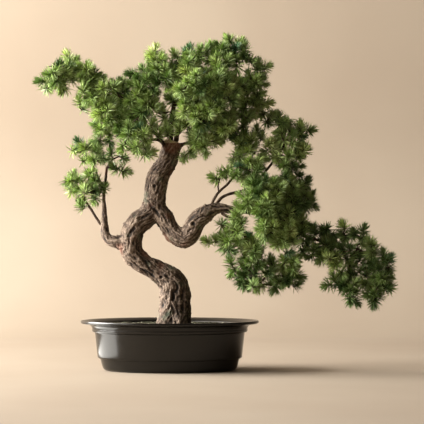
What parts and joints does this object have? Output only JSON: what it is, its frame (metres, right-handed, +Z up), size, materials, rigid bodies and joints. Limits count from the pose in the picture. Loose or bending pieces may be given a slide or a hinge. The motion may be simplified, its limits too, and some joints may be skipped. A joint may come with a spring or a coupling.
{
  "type": "potted bonsai tree",
  "caption": "Leaning conifer bonsai with a twisted trunk, a drooping right limb and clumps of short needles, standing in an oval tray pot filled with soil.",
  "frame": {"origin": "centre of the pot's flat base, where it rests", "axes": "+Z up the tree; +X along the pot's long axis, towards the drooping limb; -Y towards the viewer's side"},
  "size_m": [0.5927, 0.2096, 0.554],
  "materials": {
    "pot": "satin black moulded plastic",
    "soil": "rough granular filling",
    "moss": "short dry moss with grit",
    "bark": "deeply ridged bark",
    "shoot": "thin rough twigs",
    "needles": "short green needles in clumps"
  },
  "bodies": {
    "root": {"moss_dressing": "moss", "needles_branch_inner": "needles", "needles_branch_low": "needles", "needles_branch_outer": "needles", "needles_branch_top": "needles", "needles_crown_back": "needles", "needles_crown_back_low": "needles", "needles_crown_front": "needles", "needles_crown_front_low": "needles", "needles_crown_hanging": "needles", "needles_crown_left": "needles", "needles_crown_left_back": "needles", "needles_crown_left_front": "needles", "needles_crown_peak_left": "needles", "needles_crown_peak_mid": "needles", "needles_crown_peak_right": "needles", "needles_crown_right": "needles", "needles_crown_shoulder": "needles", "needles_left_spray": "needles", "needles_left_tip": "needles", "needles_limb_back": "needles", "needles_limb_bottom": "needles", "needles_limb_front": "needles", "needles_limb_heart": "needles", "needles_limb_left": "needles", "needles_limb_lone": "needles", "needles_limb_low": "needles", "needles_limb_outer": "needles", "needles_limb_right": "needles", "needles_limb_shoulder": "needles", "needles_limb_top": "needles", "needles_trail_end": "needles", "needles_trail_low": "needles", "needles_trail_mid": "needles", "needles_trail_start": "needles", "needles_trail_tip": "needles", "pot": "pot", "shoot_branch_inner": "shoot", "shoot_branch_outer": "shoot", "shoot_branch_upper": "shoot", "shoot_crown_back": "shoot", "shoot_crown_centre": "shoot", "shoot_crown_fork": "shoot", "shoot_crown_left": "shoot", "shoot_crown_low": "shoot", "shoot_crown_right": "shoot", "shoot_limb_lone": "shoot", "shoot_limb_low": "shoot", "shoot_limb_shoulder": "shoot", "shoot_limb_top": "shoot", "shoot_trail": "shoot", "soil": "soil", "trunk": "bark"}
  },
  "joints": []
}
